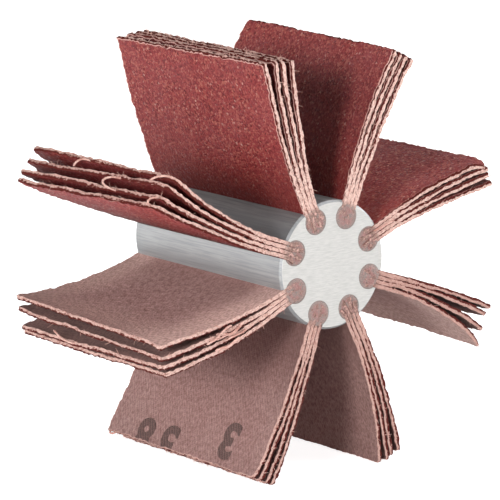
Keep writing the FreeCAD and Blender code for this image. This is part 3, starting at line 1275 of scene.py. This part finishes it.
@dataclass
class Fuzz:
    """Yarn ends and fibres that stand out of the cut edges of one bundle."""

    flaps: list[Flap]
    count: int = 600
    tip_share: float = 0.42
    front_share: float = 0.62
    fibre_share: float = 0.025
    radius: float = 0.055 * MM
    sunk: float = 0.08 * MM  # how deep its root is in the edge
    layer_part: tuple[float, float] = (-0.48, 0.15)  # heights in the cloth, in thicknesses, under the grit coat
    stub: tuple[float, float] = (0.12 * MM, 0.5 * MM)
    stub_width: tuple[float, float] = (0.6, 1.25)
    stub_sway: float = 0.5
    fibre: tuple[float, float] = (0.5 * MM, 1.2 * MM)
    fibre_width: float = 0.42
    fibre_sway: float = 0.9
    curl: float = 0.7
    shortness: float = 1.5  # the higher, the more of them are short

    SEED = 77

    def template(self) -> tuple[np.ndarray, list[tuple[int, ...]]]:
        """Model one straight yarn end of unit length.

        Returns:
            Its vertices and its faces.
        """
        start_afresh()
        bpy.ops.mesh.primitive_cone_add(vertices=4, radius1=1.0, radius2=0.35, depth=1.0, location=(0.0, 0.0, 0.5))
        end = bpy.context.active_object
        bpy.ops.object.transform_apply(location=True)
        subdivide_edges(lambda edge: abs(edge.verts[0].co.z - edge.verts[1].co.z) > 0.5, 2)
        corners = coordinates_of(end.data)
        faces = [tuple(face.vertices) for face in end.data.polygons]
        bpy.data.objects.remove(end)
        return corners, faces

    def one(self, corners: np.ndarray, random: np.random.Generator) -> np.ndarray:
        """Set one yarn end or fibre in a cut edge.

        Args:
            corners: vertices of the straight yarn end.
            random: the bundle's random numbers.

        Returns:
            The vertices on the wheel.
        """
        flap = self.flaps[random.integers(len(self.flaps))]
        height = random.uniform(*self.layer_part) * flap.thickness
        if random.random() < self.tip_share:
            root = np.array((random.uniform(0, flap.width), flap.line.length, height))
            outward = np.array((0.0, 1.0, 0.0))
        else:
            at_front = random.random() < self.front_share
            along = random.uniform(flap.mouth, flap.line.length)
            root = np.array((flap.width if at_front else 0.0, along, height))
            outward = np.array((1.0 if at_front else -1.0, 0.0, 0.0))
        is_fibre = random.random() < self.fibre_share
        shortest, longest = self.fibre if is_fibre else self.stub
        length = shortest + (longest - shortest) * random.random() ** self.shortness
        radius = self.radius * (self.fibre_width if is_fibre else random.uniform(*self.stub_width))
        aim = outward + random.normal(0, self.fibre_sway if is_fibre else self.stub_sway, 3)
        curl = random.normal(0, self.curl, 3)
        share = corners[:, 2:3]
        path = root + length * (aim * share + curl * share**2) - outward * self.sunk
        section = np.column_stack((corners[:, 0], corners[:, 1], np.zeros(len(corners)))) * radius
        turned = section @ np.array(Vector(aim).to_track_quat("Z", "Y").to_matrix()).T
        return flap.bent(path + turned)

    def build(self) -> bpy.types.Object:
        """Set all the yarn ends and fibres, as one piece."""
        corners, faces = self.template()
        random = np.random.default_rng(self.SEED + self.flaps[0].bundle)
        vertices = [self.one(corners, random) for _ in range(self.count)]
        starts = range(0, self.count * len(corners), len(corners))
        all_faces = [tuple(start + index for index in face) for start in starts for face in faces]
        mesh = bpy.data.meshes.new("edge_fuzz")
        mesh.from_pydata(np.vstack(vertices).tolist(), [], all_faces)
        piece = new_object(f"edge_fuzz_{self.flaps[0].bundle}", mesh)
        dress(piece, Yarn.NAME)
        attach(piece)
        return piece


@dataclass(frozen=True)
class LooseYarn:
    """A two-ply yarn that has come out of a cut edge.

    Its route is on one flap, in millimetres: across from the rear edge, out past the tip, and above the
    middle of the cloth towards the grit.
    """

    bundle: int
    layer: int
    route: tuple[tuple[float, float, float], ...]
    ply_mm: float = 0.105
    pitch: float = 0.95 * MM
    closeness: float = 0.85  # distance of each ply from the middle, in its radii
    span_steps: int = 8

    ASKEW = (0.31, 0.52, 0.79)  # a direction that no yarn takes

    def middle(self, flap: Flap) -> np.ndarray:
        """Draw a smooth curve along the yarn's route.

        Args:
            flap: the flap that it has come out of.

        Returns:
            Points closely along its middle, on the wheel.
        """
        corners = np.array(self.route) * MM + (0.0, flap.line.length, 0.0)
        corners = np.vstack((2 * corners[0] - corners[1], corners, 2 * corners[-1] - corners[-2]))
        share = np.linspace(0, 1, self.span_steps, endpoint=False)[:, None]
        spans = [
            ((1 - share) ** 3 * a + (3 * share**3 - 6 * share**2 + 4) * b
             + (1 + 3 * share + 3 * share**2 - 3 * share**3) * c + share**3 * d) / 6
            for a, b, c, d in zip(corners, corners[1:], corners[2:], corners[3:])
        ]
        return flap.bent(np.vstack(spans))

    def build(self, flap: Flap) -> bpy.types.Object:
        """Twist the two plies round the yarn's middle.

        Args:
            flap: the flap that it has come out of.

        Returns:
            The yarn as one piece.
        """
        line = self.middle(flap)
        steps = np.gradient(line, axis=0)
        walked = np.concatenate(([0.0], np.cumsum(np.linalg.norm(np.diff(line, axis=0), axis=1))))
        aims = steps / np.linalg.norm(steps, axis=1)[:, None]
        side = np.cross(aims, self.ASKEW)
        side /= np.linalg.norm(side, axis=1)[:, None]
        other = np.cross(aims, side)
        radius = self.ply_mm * MM
        plies = []
        for ply in range(2):
            turn = (2 * math.pi * walked / self.pitch + math.pi * ply)[:, None]
            strand = line + radius * self.closeness * (np.cos(turn) * side + np.sin(turn) * other)
            plies.append(curve_piece("yarn_ply", strand, radius))
        piece = joined(f"loose_yarn_{self.bundle}_{self.layer}", plies)
        dress(piece, Yarn.NAME)
        attach(piece)
        return piece


LOOSE_YARNS = (
    LooseYarn(
        8, 4,
        ((15.9, -0.2, 0.0), (14.9, 0.4, 0.15), (13.9, 0.5, 0.5),
         (13.2, 0.4, 1.1), (12.9, 0.1, 1.7)),
    ),
    LooseYarn(
        8, 3,
        ((26.2, -0.2, 0.0), (24.8, 0.4, 0.1), (23.2, 0.6, 0.5), (22.5, 0.7, 1.1),
         (23.1, 0.6, 1.8), (25.0, 0.4, 2.1), (26.6, 0.1, 2.2)),
    ),
    LooseYarn(
        8, 4,
        ((38.1, -1.6, 0.0), (38.0, -0.2, -0.1), (36.9, 0.4, 0.0),
         (35.5, 0.5, 0.2), (34.2, 0.6, 0.7), (33.3, 0.5, 1.4)),
    ),
    LooseYarn(
        8, 2,
        ((37.4, -0.2, -0.1), (36.5, 0.4, 0.2), (35.8, 0.5, 0.7),
         (35.9, 0.4, 1.3), (36.6, 0.1, 1.6)),
    ),
    LooseYarn(
        7, 2,
        ((10.6, 0.8, -1.5), (11.2, 0.7, -1.0), (12.2, 0.6, -0.4),
         (13.6, 0.4, 0.0), (15.2, 0.0, 0.1)),
    ),
    LooseYarn(
        7, 3,
        ((38.1, -9.0, 0.0), (38.5, -10.2, 0.3), (38.6, -11.6, 0.1),
         (38.4, -13.0, 0.5), (38.1, -14.6, 0.2)),
    ),
    LooseYarn(7, 2, ((38.2, -12.0, -0.1), (38.6, -13.2, -0.3), (38.4, -14.6, 0.1), (38.2, -15.8, 0.0))),
    LooseYarn(
        7, 3,
        ((38.0, -10.4, -0.4), (38.5, -11.4, -0.1), (38.7, -12.6, 0.5),
         (38.5, -14.0, 0.2), (38.0, -15.6, -0.3)), 0.13,
    ),
    LooseYarn(
        7, 3,
        ((38.0, -8.4, 0.4), (38.6, -9.6, 0.1), (38.8, -10.8, -0.5),
         (38.5, -12.2, -0.9), (38.1, -13.4, -0.6)), 0.12,
    ),
    LooseYarn(
        7, 2,
        ((38.1, -9.6, 0.7), (38.6, -10.6, 0.5), (38.8, -11.8, 0.9),
         (38.6, -12.8, 0.5), (38.2, -14.4, 0.6)), 0.13,
    ),
    LooseYarn(6, 4, ((2.4, -0.3, 0.0), (1.8, 0.3, -0.1), (1.2, 0.6, -0.3), (1.0, 0.2, -0.4))),
    LooseYarn(3, 2, ((38.15, -24.6, 0.3), (38.3, -23.2, 0.1), (38.35, -21.8, 0.0), (38.2, -20.4, -0.3))),
)


@dataclass(frozen=True)
class PrintedNumber:
    """Numerals rolled on the cloth before it was cut, here seen upside down and cut off by the tip."""

    text: str
    from_front: float
    above_tip: float
    height: float = 6.2 * MM
    boldness: float = 0.04
    spacing: float = 1.55
    depth: float = 0.02 * MM
    stand_off: float = 0.03 * MM
    cell: float = 0.45 * MM
    tip_gap: float = 0.15 * MM
    bundle: int = 6
    layer: int = 4

    def build(self, flap: Flap) -> bpy.types.Object:
        """Draw the number flat, cut it at the tip and lay it on the cloth side.

        Args:
            flap: the flap that it is printed on.

        Returns:
            The number as one piece.
        """
        start_afresh()
        bpy.ops.object.text_add()
        number = bpy.context.active_object
        number.name = f"printed_number_{self.text}"
        number.data.body = self.text
        number.data.align_x = "CENTER"
        number.data.align_y = "CENTER"
        number.data.offset = self.boldness
        number.data.space_character = self.spacing
        number.data.resolution_u = 6
        bpy.ops.object.convert(target="MESH")
        places = coordinates_of(number.data)
        places -= (places.max(0) + places.min(0)) / 2
        places *= self.height / np.ptp(places[:, 1])
        centre = (flap.width - self.from_front, flap.line.length - self.above_tip)
        laid = (centre[0] - places[:, 0], centre[1] + places[:, 1], places[:, 2])
        put_coordinates(number.data, np.column_stack(laid))
        with editing("SELECT"):
            bpy.ops.mesh.remove_doubles(threshold=0.01 * MM)
            tip = (0.0, flap.line.length - self.tip_gap, 0.0)
            bpy.ops.mesh.bisect(plane_co=tip, plane_no=(0.0, 1.0, 0.0), clear_outer=True)
            for axis, normal in ((1, (0.0, 1.0, 0.0)), (0, (1.0, 0.0, 0.0))):
                for place in np.arange(centre[axis] - self.height, centre[axis] + self.height, self.cell):
                    bpy.ops.mesh.select_all(action="SELECT")
                    bpy.ops.mesh.bisect(plane_co=[place * part for part in normal], plane_no=normal)
        apply_modifier("SOLIDIFY", thickness=self.depth, offset=0.0)
        with editing("SELECT"):
            bpy.ops.mesh.normals_make_consistent(inside=False)
        flat = coordinates_of(number.data)
        flat[:, 2] -= flap.thickness / 2 + self.stand_off
        flap.mark_places(number.data, flat)
        put_coordinates(number.data, flap.bent(flap.roughened(flat)))
        dress(number, PrintedInk.NAME)
        attach(number)
        return number


PRINTED_NUMBERS = (PrintedNumber("3", 8.9 * MM, 4.2 * MM), PrintedNumber("58", 25.7 * MM, 0.8 * MM))

# in millimetres, front and rear, by bundle and layer
CORNER_WEARS = {
    (3, 1): (1.7, 0.5),
    (3, 3): (1.2, 0.5),
    (4, 1): (0.7, 0.6),
    (4, 2): (1.2, 0.6),
    (4, 3): (1.0, 0.6),
    (4, 4): (0.9, 0.8),
    (7, 4): (0.7, 0.4),
}

WARPS = {
    (1, 2): Warp(rear_reach=0.4),
    (1, 3): Warp(rear_reach=0.5),
    (1, 4): Warp(rear_reach=0.6),
    (2, 1): Warp(rear_reach=0.8),
    (2, 2): Warp(rear_reach=0.8),
    (2, 3): Warp(rear_reach=0.9),
    (2, 4): Warp(rear_reach=0.9),
    (3, 1): Warp(front_curl=1.3),
    (4, 1): Warp(front_reach=0.3),
    (4, 3): Warp(front_lift=0.5, front_reach=0.3),
    (4, 4): Warp(front_lift=0.3, front_reach=0.9, rear_reach=-0.3, front_curl=0.5),
    (5, 1): Warp(front_lift=-0.4, rear_lift=-0.2),
    (5, 4): Warp(front_lift=0.45, rear_lift=0.3),
    (6, 4): Warp(rear_lift=0.6),
    (7, 1): Warp(front_lift=-0.3),
    (7, 2): Warp(front_lift=-0.5, rear_lift=-0.8),
    (7, 3): Warp(front_lift=-0.5, rear_lift=0.8),
    (7, 4): Warp(rear_lift=1.3, front_curl=-0.5),
    (8, 1): Warp(rear_lift=-0.7, rear_reach=-1.4),
    (8, 2): Warp(rear_lift=-0.7, rear_reach=-1.1),
    (8, 3): Warp(rear_lift=-0.6, rear_reach=-1.0),
    (8, 4): Warp(rear_reach=-0.6),
}


@dataclass
class FlapBundle:
    """The four flaps of one slot, with what hangs from their edges."""

    number: int
    flaps: list[Flap] = field(default_factory=list)
    fine_cells: tuple[float, float] = (0.5 * MM, 0.3 * MM)  # of the outer flaps, which show their faces
    wear_mm: tuple[float, float] = (0.2, 0.9)

    SEED = 300

    def build(self) -> None:
        """Make the flaps, their fuzz, their loose yarns and their print."""
        wears = np.random.default_rng(self.SEED + self.number).uniform(*self.wear_mm, (len(LAYERS), 2))
        for layer, wear in zip(LAYERS, wears):
            place = (self.number, layer)
            flap = Flap(*place, CORNER_WEARS.get(place, tuple(wear)), WARPS.get(place, Warp()))
            if layer in (min(LAYERS), max(LAYERS)):
                flap.cells = self.fine_cells
            flap.build()
            self.flaps.append(flap)
        hanging = self.hang()
        for flap in self.flaps:
            flap.declare(hanging[flap.layer])

    def hang(self) -> dict[int, list[bpy.types.Object]]:
        """Make what hangs from the flaps.

        Returns:
            The pieces on each layer.
        """
        hanging = {layer: [] for layer in LAYERS}
        hanging[min(LAYERS)].append(Fuzz(self.flaps).build())
        for extra in (*LOOSE_YARNS, *PRINTED_NUMBERS):
            if extra.bundle == self.number:
                hanging[extra.layer].append(extra.build(self.flaps[extra.layer - 1]))
        return hanging


@dataclass(frozen=True)
class ResinFace:
    """Resin smeared over the root ends at one end of a slot's round hole."""

    slot: int
    at_front: bool
    first_slot_deg: float = 114.2
    centre_radius: float = 7.7 * MM
    radius: float = 1.96 * MM
    depth: float = 0.5 * MM
    covered: tuple[int, ...] = (2, 4, 6, 7)  # slots whose root ends the resin hides
    roughness: float = 0.15 * MM
    sink: float = 0.1 * MM  # how far it is under the hub's face, or over it where it hides the roots
    lump: float = 0.42 * MM
    fine_lump: float = 0.19 * MM
    cells: int = 24

    SEED = 500

    def build(self) -> None:
        """Make the smear as a lumpy disc."""
        start_afresh()
        bpy.ops.mesh.primitive_grid_add(
            x_subdivisions=self.cells, y_subdivisions=self.cells, size=2.0, calc_uvs=False
        )
        smear = bpy.context.active_object
        smear.name = f"resin_{'front' if self.at_front else 'rear'}_{self.slot}"
        apply_modifier("SOLIDIFY", thickness=1.0, offset=-1.0)
        square = coordinates_of(smear.data)
        reach = np.maximum(np.abs(square[:, 0]), np.abs(square[:, 1]))
        shrink = reach / np.maximum(np.hypot(square[:, 0], square[:, 1]), TINY)
        disc = square[:, :2] * shrink[:, None] * self.radius
        seed = self.SEED + 2 * self.slot + self.at_front
        lumps = random_surface(seed, *(disc / self.lump + 20).T)
        lumps += 0.6 * random_surface(seed + 40, *(disc / self.fine_lump + 20).T)
        is_face = square[:, 2] > -0.5
        sink = -self.sink if self.slot in self.covered else self.sink
        height = np.where(is_face, (lumps * self.roughness - sink) * (1 - reach**6), -self.depth)
        turn = math.radians(self.first_slot_deg - 360 / len(BUNDLES) * (self.slot - 1))
        middle = self.centre_radius * np.array((math.cos(turn), math.sin(turn)))
        outward, face = (-1.0, HUB_LOW.y) if self.at_front else (1.0, HUB_HIGH.y)
        places = (middle[0] - outward * disc[:, 0], face + outward * height, middle[1] + disc[:, 1])
        put_coordinates(smear.data, np.column_stack(places))
        put_attribute(smear.data, "from_middle", reach)
        bpy.ops.object.shade_smooth()
        dress(smear, CuredResin.NAME)
        attach(smear)


@dataclass(frozen=True)
class MandrelThread:
    """The M6 thread of the mandrel hole, cut into the hub's wall."""

    crest: float = 2.46 * MM
    root: float = 3.0 * MM
    pitch: float = 1.0 * MM
    start: float = -0.6 * MM
    turns: int = 15
    steps: int = 28
    flank_deg: float = 30.0
    overcut: float = 1.1  # how much wider the groove is than its flanks need

    def cutter(self) -> bpy.types.Object:
        """Sweep the thread's groove along its helix.

        Returns:
            The groove as a closed solid.
        """
        start_afresh()
        bpy.ops.mesh.primitive_circle_add(vertices=3, radius=1.0, fill_type="NOTHING")
        groove = bpy.context.active_object
        groove.name = "thread_groove"
        half = (self.root - self.crest) * math.tan(math.radians(self.flank_deg)) * self.overcut
        profile = np.array(((self.root, 0.0, 0.0), (self.crest, 0.0, half), (self.crest, 0.0, -half)))
        put_coordinates(groove.data, profile)
        apply_modifier(
            "SCREW",
            axis="Z", screw_offset=self.pitch, iterations=self.turns,
            steps=self.steps, render_steps=self.steps, use_merge_vertices=False,
        )
        with editing("DESELECT"):
            bpy.ops.mesh.select_mode(type="VERT")
            bpy.ops.mesh.select_non_manifold()
            bpy.ops.mesh.edge_face_add()
            bpy.ops.mesh.select_all(action="SELECT")
            bpy.ops.mesh.normals_make_consistent(inside=False)
            bpy.ops.transform.rotate(value=math.radians(-90), orient_axis="X", center_override=(0.0, 0.0, 0.0))
        places = coordinates_of(groove.data)
        if places[:, 1].max() > 0.5 * self.pitch:
            places[:, 1:] *= -1.0
        places[:, 1] += self.start
        put_coordinates(groove.data, places)
        return groove


@dataclass(frozen=True)
class Hub:
    """The aluminium hub with its tapped hole, and the resin in its slots."""

    thread: MandrelThread = MandrelThread()
    smooth_deg: float = 30.0

    def build(self) -> None:
        """Make the hub and dress the resin."""
        self.tap()
        for slot in BUNDLES:
            dress(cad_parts[f"resin_bead_{slot}"], CuredResin.NAME)
            for at_front in (True, False):
                ResinFace(slot, at_front).build()

    def tap(self) -> None:
        """Copy the CAD hub, cut the thread in it and let it stand for the node."""
        hub = new_object("tapped_hub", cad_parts["hub"].data.copy())
        groove = self.thread.cutter()
        start_afresh()
        hub.select_set(True)
        bpy.context.view_layer.objects.active = hub
        with editing("SELECT"):
            bpy.ops.mesh.remove_doubles(threshold=WELD)
        bpy.ops.mesh.customdata_custom_splitnormals_clear()
        apply_modifier("BOOLEAN", operation="DIFFERENCE", solver="EXACT", object=groove)
        bpy.data.objects.remove(groove)
        bpy.ops.object.shade_smooth_by_angle(angle=math.radians(self.smooth_deg))
        dress(hub, Aluminium.NAME)
        attach(hub)
        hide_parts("hub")


@dataclass(frozen=True)
class Lamp:
    """A square soft lamp."""

    name: str
    place: tuple[float, float, float]
    side: float
    watts: float

    def build(self, target: Vector) -> None:
        """Hang the lamp.

        Args:
            target: the place that it is turned to.
        """
        data = bpy.data.lights.new(self.name, "AREA")
        data.size = self.side
        data.energy = self.watts
        lamp = new_object(self.name, data)
        lamp.location = self.place
        lamp.rotation_euler = (target - Vector(self.place)).to_track_quat("-Z", "Y").to_euler()


@dataclass
class Studio:
    """White floor, soft lamps, world and camera."""

    floor_side: float = 8.0
    world_light: float = 0.02
    camera_place: tuple[float, float, float] = (-0.344722, -0.475110, 0.113998)
    azimuth_deg: float = -36.97
    elevation_deg: float = 11.336
    roll_deg: float = -0.517
    focal_mm: float = 268.084
    sensor_mm: float = 36.0
    nearest_seen: float = 0.01
    lamp_aim: tuple[float, float, float] = (0.0, -0.019, 0.0)
    lamps: tuple[Lamp, ...] = (
        Lamp("left_front_lamp", (-0.87, -0.38, 0.21), 0.24, 4.8),
        Lamp("left_rear_lamp", (-0.90, 0.35, 0.25), 0.50, 5.1),
        Lamp("right_lamp", (0.95, -0.10, 0.20), 0.50, 6.5),
        Lamp("top_lamp", (0.36, -0.36, 0.60), 0.40, 2.3),
        Lamp("front_lamp", (-0.05, -0.95, 0.05), 0.40, 5.2),
    )

    def build(self) -> None:
        """Set up the studio."""
        self.make_floor()
        self.make_world()
        for lamp in self.lamps:
            lamp.build(Vector(self.lamp_aim))
        self.make_camera()
        bpy.context.scene.view_settings.view_transform = "Standard"

    def make_floor(self) -> None:
        """Lay a white floor that keeps the object's shadow. It glows faintly to every ray, lighting the object from
        below, and more to the camera, so that it shows white.
        """
        start_afresh()
        bpy.ops.mesh.primitive_plane_add(size=self.floor_side, location=(0.0, 0.0, FLOOR))
        floor = bpy.context.active_object
        floor.name = "floor"
        nodes = new_material("studio_floor")
        seen = nodes.add("LightPath").outputs["Is Camera Ray"]
        surface(
            nodes,
            Base_Color=srgb(244, 244, 244),
            Roughness=0.9,
            Specular_IOR_Level=0.0,
            Emission_Color=(1.0, 1.0, 1.0, 1.0),
            Emission_Strength=nodes.scaled(seen, 0.65, 0.21),
        )
        dress(floor, "studio_floor")

    def make_world(self) -> None:
        """Show white to the camera, and to the metal a white room with a dark ceiling."""
        world = bpy.data.worlds.new("studio")
        bpy.context.scene.world = world
        world.use_nodes = True
        nodes = NodeSketch(world.node_tree)
        path = nodes.add("LightPath")
        upward = nodes.parts(nodes.add("TexCoord").outputs["Generated"])[2]
        mirrored = nodes.times(path.outputs["Is Glossy Ray"], nodes.between(upward, 0.3, 0.5, 1.0, 0.12))
        shown = nodes.maths("MAXIMUM", path.outputs["Is Camera Ray"], mirrored)
        shown = nodes.maths("MAXIMUM", shown, path.outputs["Is Transmission Ray"])
        strength = nodes.scaled(shown, 1.0 - self.world_light, self.world_light)
        back = nodes.add("Background", None, Color=(1.0, 1.0, 1.0, 1.0), Strength=strength)
        nodes.add("OutputWorld", None, Surface=back.outputs[0])

    def make_camera(self) -> None:
        """Place the camera where the photograph was taken from."""
        azimuth, elevation, roll = (
            math.radians(angle) for angle in (self.azimuth_deg, self.elevation_deg, self.roll_deg)
        )
        level = math.cos(elevation)
        back = Vector((math.sin(azimuth) * level, -math.cos(azimuth) * level, math.sin(elevation)))
        data = bpy.data.cameras.new("camera")
        data.lens = self.focal_mm
        data.sensor_width = self.sensor_mm
        data.clip_start = self.nearest_seen
        camera = new_object("camera", data)
        turned = back.to_track_quat("Z", "Y").to_matrix() @ Matrix.Rotation(roll, 3, "Z")
        camera.matrix_world = Matrix.Translation(self.camera_place) @ turned.to_4x4()
        bpy.context.scene.camera = camera


def main() -> None:
    """Build every piece of the object, and the studio."""
    logging.basicConfig(level=logging.INFO, format="%(message)s")
    make_materials()
    Hub().build()
    for number in BUNDLES:
        FlapBundle(number).build()
    Studio().build()


if __name__ == "__main__":
    main()
